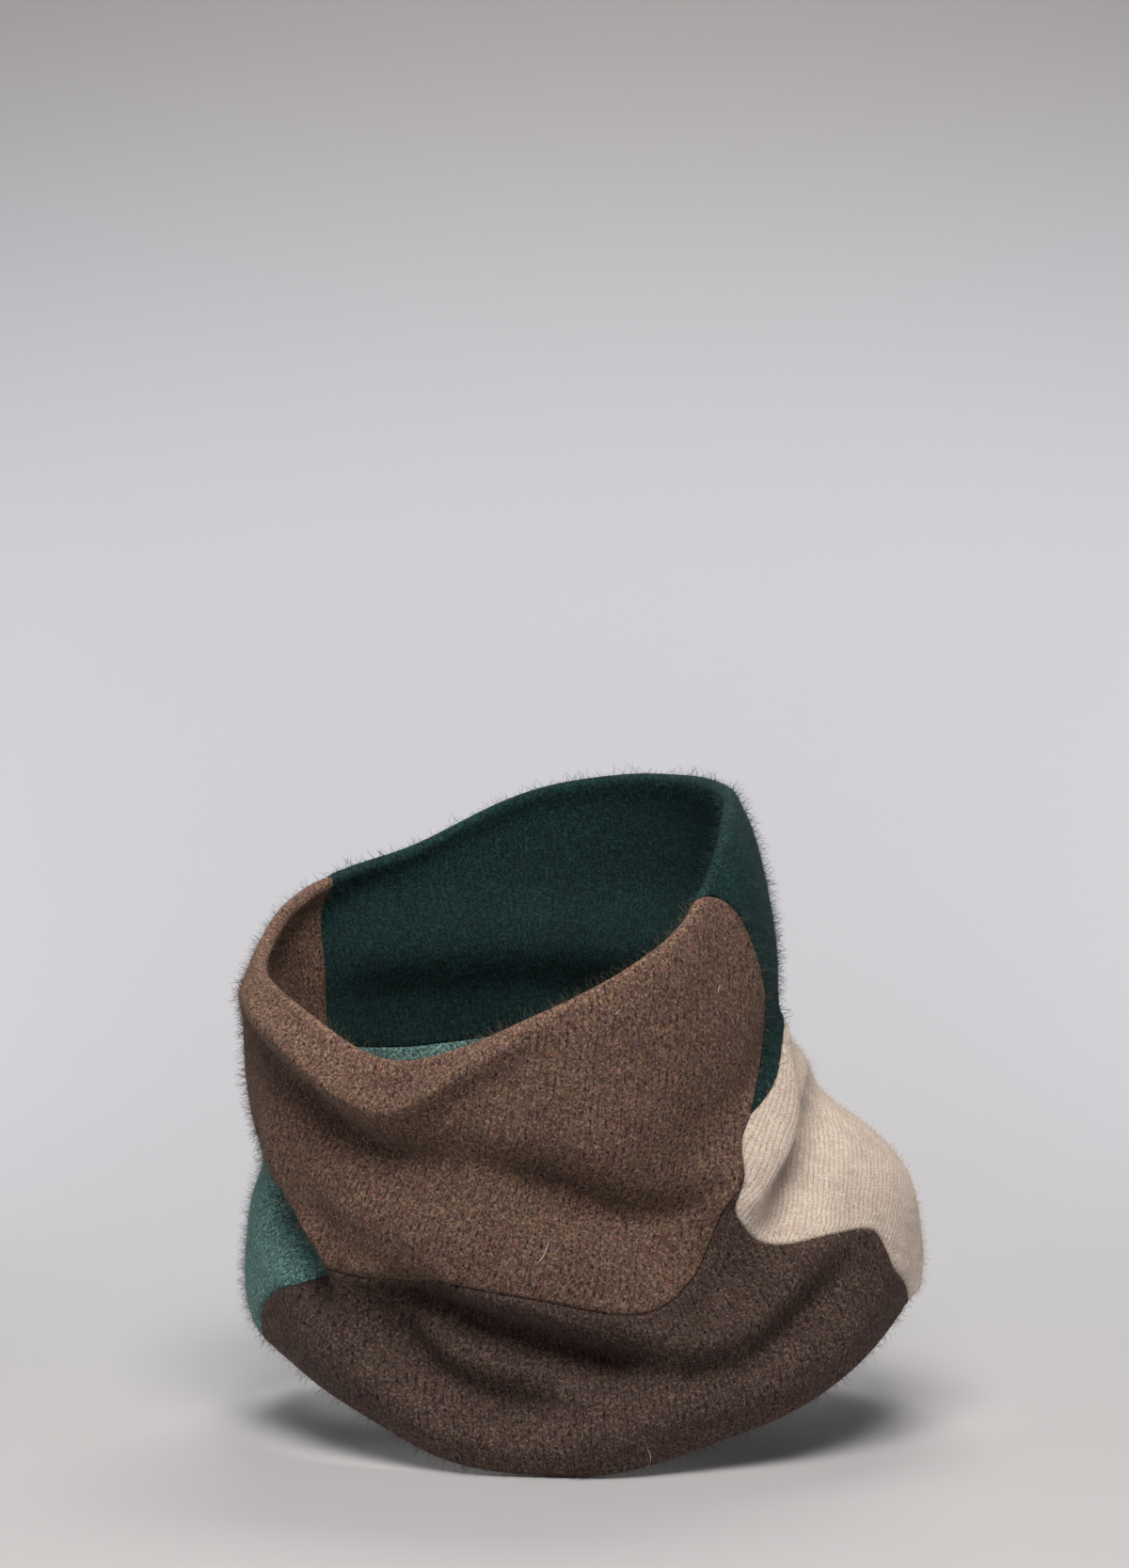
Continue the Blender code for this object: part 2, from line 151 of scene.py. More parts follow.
# Seam lines, as directions and shares. The waist seam runs once round the tube.
WAIST_LEFT = ((-130, 0.60), (-105, 0.59), (-82, 0.54), (-66, 0.505), (-57, 0.45),
              (-50.5, 0.398), (-47.2, 0.37), (-46, 0.345))
WAIST_FRONT = ((-46, 0.345), (-36, 0.385), (-22.5, 0.445), (-9.5, 0.435), (1, 0.395),
               (8.5, 0.35), (16, 0.325), (26, 0.35))
WAIST_RISE = ((26, 0.35), (31.5, 0.368), (37.5, 0.397), (41, 0.425), (46, 0.465))
WAIST_TIP = ((46, 0.465), (51, 0.505), (56, 0.52))
FRONT_TO_BACK_SEAM = ((56, 0.52), (65, 0.555), (71, 0.62), (69.5, 0.70), (67.5, 0.80),
                      (65, 0.90), (61, 0.97), (57, 1.0))
LEFT_TO_BACK_SEAM = ((-130, 0.60), (-130, 1.0))

# Faces of the cloth meshes along each stretch of seam, about 1.5 mm each.
WAIST_LEFT_FACES = 86
WAIST_FRONT_FACES = 80
WAIST_RISE_FACES = 20
WAIST_TIP_FACES = 12
FRONT_TO_BACK_FACES = 62

WALL = 3.6
EDGE_ROLL = 2.5  # half thickness of the rolled fold at the rim and the hem
EDGE_ROLL_REACH = 9.0
WEAR_AND_HIGHLIGHT_REACH = 14.0  # how far from the fold the cloth is rubbed lighter and painted with a highlight
SEAM_GROOVE = 1.3  # depth of the groove where two patches meet
SEAM_GROOVE_REACH = 2.6
INNER_GROOVE = 0.6  # depth of the groove on the inside, as a share of SEAM_GROOVE
THINNEST = 0.25  # least half thickness, in the groove
SEAM_LAP = 0.05  # neighbours' walls press into each other at a seam
SEAM_ROWS = (0.25, 0.7)  # rows of faces added beside a seam, at these distances from it
ROLL_ROWS = (0.12, 0.45, 0.95)  # the same beside a rolled fold
SIDE_FOLLOWING = 3  # how soon the lines of faces straighten, away from a curved side
SEAM_SAMPLES = 60  # places read from a seam's curve for each row of its table
EDGE_SAMPLES = 600  # places read along the hem or the rim

PUCKER = 0.25  # how far the stitching gathers the cloth beside a seam
PUCKER_LENGTH = 7.0
PUCKER_REACH = 4.0
PUCKER_WAVES = ((1.0, 1.0), (0.63, 1.0), (0.31, 0.7))  # rate and strength of each wave
DEGREE_ROUND = 1.55  # a degree round the tube, in millimetres, for the gathers alone
HEM_TO_RIM = 140

SLACK = 0.25  # gentle unevenness of the worn cloth
SLACK_WAVES = 26
SLACK_TURNS = (4, 15)  # waves round the tube, least and most
SLACK_RISE = (1, 6)  # waves up the tube, least and most


def curve_through(known, values, at):
    """A smooth curve (natural cubic) through the rows of a table."""
    known = np.asarray(known, float)
    values = np.asarray(values, float)
    step = np.diff(known)
    slope = np.diff(values) / step
    count = len(known)
    system = np.eye(count)
    target = np.zeros(count)
    for row in range(1, count - 1):
        system[row, row - 1:row + 2] = step[row - 1], 2 * (step[row - 1] + step[row]), step[row]
        target[row] = 6 * (slope[row] - slope[row - 1])
    bend = np.linalg.solve(system, target)
    at = np.asarray(at, float)
    left = np.clip(np.searchsorted(known, at) - 1, 0, count - 2)
    width = step[left]
    before = known[left + 1] - at
    after = at - known[left]
    cubic = (bend[left] * before**3 + bend[left + 1] * after**3) / (6 * width)
    start = (values[left] / width - bend[left] * width / 6) * before
    end = (values[left + 1] / width - bend[left + 1] * width / 6) * after
    return cubic + start + end


def edge_height(column, direction):
    """Height of the hem (column 1) or the rim (column 2) in a direction."""
    table = np.array(EDGES, float)
    rows = np.concatenate([table[:, 0] - 360, table[:, 0], table[:, 0] + 360])
    heights = np.tile(table[:, column], 3)
    return curve_through(rows, heights, (direction + 180) % 360 - 180)


def plain_tube(direction, share):
    """Outside of the tube before it has folds."""
    rings = np.array(RINGS, float)
    left, right, front, back = (curve_through(rings[:, 0], rings[:, side], share)
                                for side in (1, 2, 3, 4))
    turn = np.radians(direction)
    x = (left + right) / 2 + (right - left) / 2 * np.sin(turn)
    y = (front + back) / 2 - (back - front) / 2 * np.cos(turn)
    hem = edge_height(1, direction)
    z = hem + (edge_height(2, direction) - hem) * share
    return np.stack([x, y, z], axis=-1)


def outward(surface, direction, share):
    """Unit vector square to a surface, pointing away from the neck."""
    turn_step = 0.35
    share_step = 0.003
    upper = np.minimum(share + share_step, 1)
    lower = np.maximum(share - share_step, 0)
    round_it = surface(direction + turn_step, share) - surface(direction - turn_step, share)
    up_it = surface(direction, upper) - surface(direction, lower)
    vector = np.cross(round_it, up_it)
    return vector / np.linalg.norm(vector, axis=-1, keepdims=True)


def ease(value):
    """0 below 0, 1 above 1, and smooth between."""
    value = np.clip(value, 0, 1)
    return value * value * (3 - 2 * value)


def fold_height(direction, share):
    """How far the folds lift the cloth off the plain tube."""
    tall = edge_height(2, direction) - edge_height(1, direction)
    lift = np.zeros(direction.shape)
    for _, out, above, below, fade_left, fade_right, line in FOLDS:
        turns, shares = np.array(line, float).T
        middle = (turns[0] + turns[-1]) / 2
        near = (direction - middle + 180) % 360 - 180 + middle
        on_line = curve_through(turns, shares, np.clip(near, turns[0], turns[-1]))
        away = (share - on_line) * tall
        spread = np.where(away > 0, above, below)
        fade = ease((near - turns[0]) / fade_left) * ease((turns[-1] - near) / fade_right)
        lift += out * np.exp(-(away / spread) ** 2) * fade
    return lift


def slack_height(direction, share):
    """Small soft waves all over the cloth, the same on every run."""
    chance = np.random.default_rng(11)
    lift = np.zeros(direction.shape)
    for _ in range(SLACK_WAVES):
        turns = chance.integers(*SLACK_TURNS)
        rise = chance.uniform(*SLACK_RISE) * chance.choice((-1, 1))
        start = chance.uniform(0, 2 * np.pi)
        lift += np.sin(np.radians(direction) * turns + share * rise * np.pi + start)
    return lift * SLACK / np.sqrt(SLACK_WAVES / 2)


def cloth(direction, share):
    """Outside of the worn cloth, in millimetres."""
    direction, share = np.broadcast_arrays(np.asarray(direction, float), share)
    lift = fold_height(direction, share) + slack_height(direction, share)
    return plain_tube(direction, share) + lift[..., None] * outward(plain_tube, direction, share)


def travelled(points):
    """Length from the first of a row of points to each of them."""
    steps = np.linalg.norm(np.diff(points, axis=0), axis=-1)
    return np.concatenate([[0], np.cumsum(steps)])


def evenly(places, faces):
    """The same line of places, spaced evenly on the cloth."""
    along = travelled(cloth(places[:, 0], places[:, 1]))
    at = np.linspace(0, along[-1], faces + 1)
    return np.stack([np.interp(at, along, column) for column in places.T], axis=-1)


def seam(line, faces):
    """Places along a seam line."""
    line = np.array(line, float)
    rough = travelled(plain_tube(line[:, 0], line[:, 1]))
    dense = np.linspace(0, rough[-1], SEAM_SAMPLES * len(line))
    places = np.stack([curve_through(rough, column, dense) for column in line.T], axis=-1)
    places[:, 1] = np.clip(places[:, 1], 0, 1)
    return evenly(places, faces)


def edge(start, end, share, faces):
    """Places along the hem or the rim."""
    turns = np.linspace(start, end, EDGE_SAMPLES)
    return evenly(np.stack([turns, np.full(turns.shape, float(share))], axis=-1), faces)


def joined(*sides):
    """Stretches of seam that follow one another, as one side of a patch."""
    parts = [sides[0]] + [side[1:] for side in sides[1:]]
    return np.concatenate(parts)


def turned(side, degrees):
    """The same side of a patch, named by directions a full turn away."""
    return side + np.array([degrees, 0.0])


def filled(bottom, top, left, right):
    """A grid of places between four sides. Its lines bend along a side only close to it."""
    across = np.linspace(0, 1, len(bottom))[:, None, None]
    up = np.linspace(0, 1, len(left))[None, :, None]
    straight = (1 - up) * bottom[:, None] + up * top[:, None]
    left_bend = left[None, :] - straight[:1]
    right_bend = right[None, :] - straight[-1:]
    return (straight + left_bend * (1 - across) ** SIDE_FOLLOWING
            + right_bend * across ** SIDE_FOLLOWING)


def toward(side, inner, distance):
    """Places a set distance in from a side of a grid, on the way to its next row."""
    gap = np.linalg.norm(cloth(inner[:, 0], inner[:, 1]) - cloth(side[:, 0], side[:, 1]), axis=-1)
    part = np.minimum(distance / gap, 0.8)
    return side + (inner - side) * part[:, None]


def with_close_rows(grid, axis, first_steps, last_steps):
    """Adds rows beside the two ends of a grid, where the cloth rounds off."""
    rows = np.moveaxis(grid, axis, 0)
    first = [toward(rows[0], rows[1], step) for step in first_steps]
    last = [toward(rows[-1], rows[-2], step) for step in reversed(last_steps)]
    return np.moveaxis(np.array([rows[0], *first, *rows[1:-1], *last, rows[-1]]), 0, axis)


SIDES = {
    "bottom": lambda grid: grid[:, 0],
    "top": lambda grid: grid[:, -1],
    "left": lambda grid: grid[0],
    "right": lambda grid: grid[-1],
}


def distances(points):
    """Distance along the grid lines from each place to each of the four sides."""
    across = np.zeros(points.shape[:2])
    across[1:] = np.cumsum(np.linalg.norm(np.diff(points, axis=0), axis=-1), axis=0)
    up = np.zeros(points.shape[:2])
    up[:, 1:] = np.cumsum(np.linalg.norm(np.diff(points, axis=1), axis=-1), axis=1)
    return {"left": across, "right": across[-1:] - across, "bottom": up, "top": up[:, -1:] - up}


def lapped(points, normals, rolled):
    """Moves the sewn sides of a grid outwards a little, into their neighbours."""
    shift = np.zeros_like(points)
    for name, side_of in SIDES.items():
        if name == rolled:
            continue
        row = side_of(points)
        inner = {"bottom": points[:, 1], "top": points[:, -2],
                 "left": points[1], "right": points[-2]}[name]
        outwards = np.cross(side_of(normals), np.gradient(row, axis=0))
        outwards /= np.linalg.norm(outwards, axis=-1, keepdims=True)
        facing = np.sign(np.sum(outwards * (row - inner), axis=-1).sum())
        side_of(shift)[...] = outwards * facing
    return points + shift * SEAM_LAP


def puckers(places, away_from, rolled):
    """Small gathers beside the sewn sides, which fade into the cloth."""
    chance = np.random.default_rng(5)
    lift = np.zeros(places.shape[:2])
    for name in ("bottom", "top", "left", "right"):
        if name == rolled:
            continue
        along = places[..., 0] * DEGREE_ROUND + places[..., 1] * HEM_TO_RIM
        phase = along * 2 * np.pi / PUCKER_LENGTH
        wave = sum(strength * np.sin(rate * phase + chance.uniform(0, 6))
                   for rate, strength in PUCKER_WAVES) / 2
        near = away_from[name] / PUCKER_REACH
        lift += PUCKER * wave * near * np.exp(1 - near)
    return lift


def panel(name, material, rolled, grain, bottom, top, left, right):
    """One patch as a closed shell: rounded into its seams, rolled where its edge is a fold."""
    grid = with_close_rows(filled(bottom, top, left, right), 0, SEAM_ROWS, SEAM_ROWS)
    if rolled == "top":
        grid = with_close_rows(grid, 1, SEAM_ROWS, ROLL_ROWS)
    else:
        grid = with_close_rows(grid, 1, ROLL_ROWS, SEAM_ROWS)
    points = cloth(grid[..., 0], grid[..., 1])
    normals = outward(cloth, grid[..., 0], grid[..., 1])
    away_from = distances(points)
    half = WALL / 2 + (EDGE_ROLL - WALL / 2) * (1 - ease(away_from[rolled] / EDGE_ROLL_REACH))
    into_roll = np.clip(away_from[rolled] / EDGE_ROLL, 0, 1)
    half = half * np.sqrt(1 - (1 - into_roll) ** 2)
    groove = np.zeros(half.shape)
    for side, away in away_from.items():
        if side != rolled:
            into_seam = np.clip(away / SEAM_GROOVE_REACH, 0, 1)
            groove = np.maximum(groove, SEAM_GROOVE * (1 - np.sqrt(1 - (1 - into_seam) ** 2)))
    lift = puckers(grid, away_from, rolled) - groove
    middle = lapped(points, normals, rolled) - normals * WALL / 2
    least = np.minimum(half, THINNEST)
    outside = middle + normals * np.maximum(half + lift, least)[..., None]
    inside = middle - normals * np.maximum(half - groove * INNER_GROOVE, least)[..., None]
    knit = knit_places(points, grain)
    return shell(name, material, rolled, knit, outside, inside, away_from)


FLAT_COLUMNS = 26  # places across a patch that are worked out when it is laid flat
FLAT_ROWS = 12


def flattened(points, middle):
    """Where a coarse grid of points comes to lie when its patch is laid flat, as complex numbers
    in millimetres: the least squares conformal map, which keeps the angles of the knit."""
    columns, rows = points.shape[:2]
    number = np.arange(columns * rows).reshape(columns, rows)
    lower = np.stack([number[:-1, :-1], number[1:, :-1], number[1:, 1:]], axis=-1)
    upper = np.stack([number[:-1, :-1], number[1:, 1:], number[:-1, 1:]], axis=-1)
    corners = np.concatenate([lower.reshape(-1, 3), upper.reshape(-1, 3)])
    first, second, third = (points.reshape(-1, 3)[corners[:, k]] for k in range(3))
    length = np.linalg.norm(second - first, axis=-1)
    along = (second - first) / length[:, None]
    square = np.cross(second - first, third - first)
    area = np.linalg.norm(square, axis=-1)
    up = np.cross(square / area[:, None], along)
    tip = np.sum((third - first) * along, axis=-1) + 1j * np.sum((third - first) * up, axis=-1)
    weights = np.stack([tip - length, -tip, length], axis=-1) / np.sqrt(area)[:, None]
    system = np.zeros((len(corners), columns * rows), complex)
    system[np.arange(len(corners))[:, None], corners] = weights
    fixed = number[middle, [0, -1]]
    tall = np.linalg.norm(np.diff(points[middle], axis=0), axis=-1).sum()
    free = np.setdiff1d(number, fixed)
    flat = np.zeros(columns * rows, complex)
    flat[fixed[1]] = 1j * tall
    flat[free] = np.linalg.lstsq(system[:, free], -system[:, fixed] @ flat[fixed], rcond=None)[0]
    return flat.reshape(columns, rows)


def knit_places(points, grain):
    """Millimetres across the columns of the knit and along them, for a patch that was cut flat.
    The grain is where its columns stand upright, as a share of its width, and their lean there."""
    columns, rows = points.shape[:2]
    column_picks = np.unique(np.linspace(0, columns - 1, FLAT_COLUMNS).round().astype(int))
    row_picks = np.unique(np.linspace(0, rows - 1, FLAT_ROWS).round().astype(int))
    middle = round(grain[0] * (len(column_picks) - 1))
    flat = flattened(points[np.ix_(column_picks, row_picks)], middle)
    flat = flat * np.exp(1j * np.radians(grain[1]))
    places = np.empty((columns, rows, 2))
    for part, values in enumerate((flat.real, flat.imag)):
        wide = np.array([curve_through(column_picks, row, np.arange(columns)) for row in values.T])
        places[..., part] = [curve_through(row_picks, column, np.arange(rows)) for column in wide.T]
    return places


def placed(name, data):
    """A new object in the scene, at the origin."""
    thing = bpy.data.objects.new(name, data)
    bpy.context.scene.collection.objects.link(thing)
    return thing


INSIDE_PILE = 0.1  # loose fibres on the hidden side, as a share of those on the face
ROLLED_OVER = 0.8  # where the nearness to the fold passes this, the inside shows and has them all


def shell(name, material, rolled, knit, outside, inside, away_from):
    """A closed mesh between an outside and an inside grid, with the knit's places on it."""
    columns, rows = outside.shape[:2]
    count = columns * rows
    outer = np.arange(count).reshape(columns, rows)
    inner = outer + count
    SIDES[rolled](inner)[...] = SIDES[rolled](outer)
    quads = []
    for sheet, order in ((outer, (0, 1, 2, 3)), (inner, (0, 3, 2, 1))):
        corners = (sheet[:-1, :-1], sheet[1:, :-1], sheet[1:, 1:], sheet[:-1, 1:])
        quads.append(np.stack([corners[k] for k in order], axis=-1).reshape(-1, 4))
    for side, flip in (("bottom", False), ("right", False), ("top", True), ("left", True)):
        if side != rolled:
            out_row, in_row = SIDES[side](outer), SIDES[side](inner)
            wall = np.stack([out_row[1:], out_row[:-1], in_row[:-1], in_row[1:]], axis=-1)
            quads.append(wall[:, ::-1] if flip else wall)
    faces = [tuple(dict.fromkeys(face)) for face in np.concatenate(quads).tolist()]
    used = sorted({corner for face in faces for corner in face})
    renumbered = {old: new for new, old in enumerate(used)}
    vertices = (np.concatenate([outside.reshape(-1, 3), inside.reshape(-1, 3)]) * MM)[used]
    mesh = bpy.data.meshes.new(name)
    mesh.from_pydata(vertices.tolist(), [], [[renumbered[k] for k in face] for face in faces])
    mesh.materials.append(material)
    mesh.shade_smooth()

    knit = np.tile(knit.reshape(-1, 2), (2, 1))[used]
    corner_vertices = np.empty(len(mesh.loops), dtype=np.int32)
    mesh.loops.foreach_get("vertex_index", corner_vertices)
    layer = mesh.uv_layers.new(name="knit")
    layer.data.foreach_set("uv", knit[corner_vertices].astype(np.float32).ravel())

    # Nearness to the folded edge, where the shader paints the cloth lighter: partly rubbed wool,
    # partly a painted highlight.
    near_fold = np.exp(-(away_from[rolled] / WEAR_AND_HIGHLIGHT_REACH) ** 2).reshape(-1)
    add_attribute(mesh, "edge_wear_and_highlight", np.concatenate([near_fold, near_fold])[used])
    pile = np.concatenate([np.ones(count), np.where(near_fold > ROLLED_OVER, 1.0, INSIDE_PILE)])
    add_attribute(mesh, "pile", pile[used])
    return placed(name, mesh)


def add_attribute(mesh, name, values):
    """A number for each point of a mesh."""
    attribute = mesh.attributes.new(name=name, type="FLOAT", domain="POINT")
    attribute.data.foreach_set("value", np.asarray(values, np.float32))


def linear(hex_colour):
    """An sRGB hex colour as the linear colour that a shader takes."""
    parts = np.array([int(hex_colour[k:k + 2], 16) for k in (0, 2, 4)]) / 255
    return (*np.where(parts <= 0.04045, parts / 12.92, ((parts + 0.055) / 1.055) ** 2.4), 1.0)


def add(tree, kind, settings=None, *ordered, **named):
    """Adds a node with its settings and gives its outputs. Inputs come in order, by name or by
    number, such as _6 and _7 for the two colours of a mix. One that is a socket is linked."""
    node = tree.nodes.new(kind)
    for key, value in (settings or {}).items():
        setattr(node, key, value)
    places = [int(key[1:]) if key[1:].isdigit() else key.replace("_", " ") for key in named]
    for place, value in (*enumerate(ordered), *zip(places, named.values())):
        if isinstance(value, bpy.types.NodeSocket):
            tree.links.new(value, node.inputs[place])
        else:
            node.inputs[place].default_value = value
    return node.outputs


# Sizes in the cloth, in millimetres. A wool fibre is only 0.02 mm thick, so the strands, the
# tangle and the specks are drawn coarser than real, as fine as shows in the picture.
WALE = 1.93  # a column of stitches
COURSE = 1.45  # a row of stitches
STITCH_SLANT = 0.7  # rise of a stitch's two legs, in rows
KNIT_WANDER = 1.2  # how far the columns stray from straight
WANDERS = 0.15  # how often they do, in a millimetre of cloth
STRAND_WIDTH = 0.85  # a strand of yarn that stands out of the felt
STRAND_LENGTH = 1.8
TANGLE = 0.85  # fibres tangled on the face
CLUMP = 4.5  # clumps that they mat into
CLOUD = 22  # uneven milling
FLECK = 1.3  # bits of yarn of another shade
GLINT_SPECK = 0.75  # painted glints: fibres that lie flat on the face, painted as bright specks where they would catch the light
MATTING = 0.8  # relief of the clumps
STRANDS_SHOW = 0.6  # share of the strands in the felt's own relief, beside the tangle
EDGE_WEAR_AND_HIGHLIGHT = 0.5  # how much lighter the edge is painted, as a share: partly rubbed wool, partly a painted highlight on the rolled fold


def stockinette():
    """The relief of plain knit: columns of stacked V stitches, from 0 in the gaps to 1."""
    tree = bpy.data.node_groups.new("stockinette", "ShaderNodeTree")
    for name, kind in (("Place", "Vector"), ("Column width", "Float"), ("Row height", "Float")):
        tree.interface.new_socket(name, in_out="INPUT", socket_type=f"NodeSocket{kind}")
    tree.interface.new_socket("Relief", in_out="OUTPUT", socket_type="NodeSocketFloat")
    given = add(tree, "NodeGroupInput")
    wander = add(tree, "ShaderNodeTexNoise", {"noise_dimensions": "2D"},
                 Vector=given["Place"], Scale=WANDERS, Detail=1.0)["Color"]
    moved = add(tree, "ShaderNodeVectorMath", {"operation": "MULTIPLY_ADD"},
                wander, (KNIT_WANDER, KNIT_WANDER, 0.0), given["Place"])[0]
    place = add(tree, "ShaderNodeSeparateXYZ", Vector=moved)
    steps = (
        # result, operation, what goes into it
        ("columns", "DIVIDE", "X", "Column width"),
        ("across", "FRACT", "columns"),
        ("from_middle_line", "MULTIPLY_ADD", "across", 2, -1),
        ("from_middle", "ABSOLUTE", "from_middle_line"),
        ("rows", "DIVIDE", "Y", "Row height"),
        ("slanted_rows", "MULTIPLY_ADD", "from_middle", -STITCH_SLANT, "rows"),
        ("along_leg", "FRACT", "slanted_rows"),
        ("half_turn", "MULTIPLY", "along_leg", np.pi),
        ("stitch", "SINE", "half_turn"),
        # The gap between two columns is deep between stitches, and the crease down one is slight.
        ("near_gap", "POWER", "from_middle", 3),
        ("gap_depth", "MULTIPLY_ADD", "stitch", -0.45, 1.2),
        ("gap", "MULTIPLY", "near_gap", "gap_depth"),
        ("near_middle", "SUBTRACT", 1, "from_middle"),
        ("crease", "POWER", "near_middle", 3),
        ("column", "SUBTRACT", 1, "gap"),
        ("creased", "MULTIPLY_ADD", "crease", -0.3, "column"),
        ("legs", "MAXIMUM", "creased", 0),
        ("roundness", "MULTIPLY_ADD", "stitch", 0.45, 0.55),
        ("relief", "MULTIPLY", "legs", "roundness"),
    )
    known = {"X": place["X"], "Y": place["Y"]}
    known.update({name: given[name] for name in ("Column width", "Row height")})
    for result, operation, *parts in steps:
        known[result] = add(tree, "ShaderNodeMath", {"operation": operation},
                            *(known.get(part, part) for part in parts))[0]
    add(tree, "NodeGroupOutput", Relief=known["relief"])
    return tree


STOCKINETTE = stockinette()


def new_material(name, **finish):
    """A material, its tree and its shader, which takes what is the same all over the surface."""
    material = bpy.data.materials.new(name)
    material.use_nodes = True
    shader = material.node_tree.nodes["Principled BSDF"]
    for key, value in finish.items():
        shader.inputs[key.replace("_", " ")].default_value = value
    return material, material.node_tree, shader


def felted_wool(name, face, painted_gap_shade, light, flecks, knit_shows, knit_depth, wale=WALE):
    """Milled wool knit. Felting closes the stitches, so they show only as a faint relief; the
    yarn is spun from fibres of several shades, which gives the eye a fine heather of flecks;
    loose fibres on the face catch light at a glancing angle as a soft sheen."""
    material, tree, shader = new_material(
        name, Roughness=0.92, Specular_IOR_Level=0.25, Sheen_Weight=0.25, Sheen_Roughness=0.45,
        Sheen_Tint=linear(face))
    place = add(tree, "ShaderNodeTexCoord")["Object"]
    knit_place = add(tree, "ShaderNodeUVMap", {"uv_map": "knit"})["UV"]
    relief = add(tree, "ShaderNodeGroup", {"node_tree": STOCKINETTE}, Place=knit_place,
                 Column_width=wale, Row_height=wale * COURSE / WALE)["Relief"]
    tangle, clumps, clouds, glint_specks = (
        add(tree, "ShaderNodeTexNoise", Vector=place, Scale=1 / (size * MM), Detail=detail,
            Roughness=roughness)["Fac"]
        for size, detail, roughness in ((TANGLE, 2, 0.75), (CLUMP, 3, 0.6), (CLOUD, 2, 0.5),
                                        (GLINT_SPECK, 1, 0.5)))
    stretched = add(tree, "ShaderNodeVectorMath", {"operation": "MULTIPLY"}, knit_place,
                    (1 / STRAND_WIDTH, 1 / STRAND_LENGTH, 1.0))[0]
    strands = add(tree, "ShaderNodeTexNoise", {"noise_dimensions": "2D"}, Vector=stretched,
                  Scale=1.0, Detail=2.0, Roughness=0.6)["Fac"]
    matted = add(tree, "ShaderNodeMix", {"data_type": "FLOAT"}, STRANDS_SHOW, _2=tangle,
                 _3=strands)[0]
    height = add(tree, "ShaderNodeMix", {"data_type": "FLOAT"}, knit_shows, _2=matted,
                 _3=relief)[0]

    # Painted shade: low places of the relief, the gaps between stitches and the hollows of the
    # felt, are darkened to the gap shade; the crowns keep the face colour.
    crown_not_in_shade = add(tree, "ShaderNodeMapRange", Value=height, From_Min=0.36, From_Max=0.62)[0]
    base = add(tree, "ShaderNodeMix", {"data_type": "RGBA"}, crown_not_in_shade, _6=linear(painted_gap_shade),
               _7=linear(face))[2]
    fleck_places = add(tree, "ShaderNodeTexNoise", Vector=place, Scale=1 / (FLECK * MM),
                       Detail=2.0, Roughness=0.7)["Color"]
    fleck_parts = add(tree, "ShaderNodeSeparateXYZ", Vector=fleck_places)
    # Flecks of three shades lie in it, and painted glints: flat fibres are painted as bright specks
    # of highlight in the light colour.
    strewn = [(part, 0.55, 0.70, 0.6, fleck) for part, fleck in zip(fleck_parts, flecks)]
    strewn.append((glint_specks, 0.54, 0.68, 0.7, light))
    for pattern, least, most, strength, shade in strewn:
        amount = add(tree, "ShaderNodeMapRange", Value=pattern, From_Min=least, From_Max=most,
                     To_Max=strength)[0]
        base = add(tree, "ShaderNodeMix", {"data_type": "RGBA"}, amount, _6=base,
                   _7=linear(shade))[2]
    # It is uneven in small clumps and in wide clouds, and batches of fibre of slightly
    # different dye were carded together.
    clumpy, cloudy, hue = (
        add(tree, "ShaderNodeMapRange", Value=pattern, From_Min=0.3, From_Max=0.7, To_Min=least,
            To_Max=most)[0]
        for pattern, least, most in ((clumps, -0.10, 0.10), (clouds, 0.93, 1.07),
                                     (clumps, 0.488, 0.512)))
    uneven = add(tree, "ShaderNodeMath", {"operation": "ADD"}, clumpy, cloudy)[0]
    # The fold at an open edge is painted lighter: partly rubbed wool, partly a painted highlight
    # where the rolled fold catches the light.
    near_fold = add(tree, "ShaderNodeAttribute", {"attribute_name": "edge_wear_and_highlight"})["Fac"]
    rubbed_and_highlit = add(tree, "ShaderNodeMath", {"operation": "MULTIPLY_ADD"}, near_fold, EDGE_WEAR_AND_HIGHLIGHT,
                 1.0)[0]
    value = add(tree, "ShaderNodeMath", {"operation": "MULTIPLY"}, uneven, rubbed_and_highlit)[0]
    colour = add(tree, "ShaderNodeHueSaturation", Hue=hue, Value=value, Color=base)[0]
    tree.links.new(colour, shader.inputs["Base Color"])

    bump = add(tree, "ShaderNodeBump", Height=height, Strength=1.0, Distance=knit_depth * MM)[0]
    matting = add(tree, "ShaderNodeBump", Height=clumps, Strength=0.6, Distance=MATTING * MM,
                  Normal=bump)[0]
    tree.links.new(matting, shader.inputs["Normal"])
    return material


def loose_fibre(name, face, light):
    """The loose end of one wool fibre: finer and so a little paler than the yarn, and matt."""
    material, tree, shader = new_material(name, Roughness=0.8, Specular_IOR_Level=0.3)
    shade = add(tree, "ShaderNodeAttribute", {"attribute_name": "shade"})["Fac"]
    place = add(tree, "ShaderNodeTexCoord")["Object"]
    clumps = add(tree, "ShaderNodeTexNoise", Vector=place, Scale=1 / (CLUMP * MM),
                 Detail=2.0)["Fac"]
    by_fibre = add(tree, "ShaderNodeMath", {"operation": "MULTIPLY"}, shade, 0.6)[0]
    amount = add(tree, "ShaderNodeMath", {"operation": "MULTIPLY_ADD"}, clumps, 0.5, by_fibre)[0]
    colour = add(tree, "ShaderNodeMix", {"data_type": "RGBA"}, amount, _6=linear(face),
                 _7=linear(light))[2]
    tree.links.new(colour, shader.inputs["Base Color"])
    return material


FIBRE_HALF_WIDTH = 0.015  # as a share of the fibre's length; drawn thicker than real to show
STRAIGHT_FIBRES = 4
CURLED_FIBRES = 4
THREE_SIDES = np.radians((0, 120, 240))


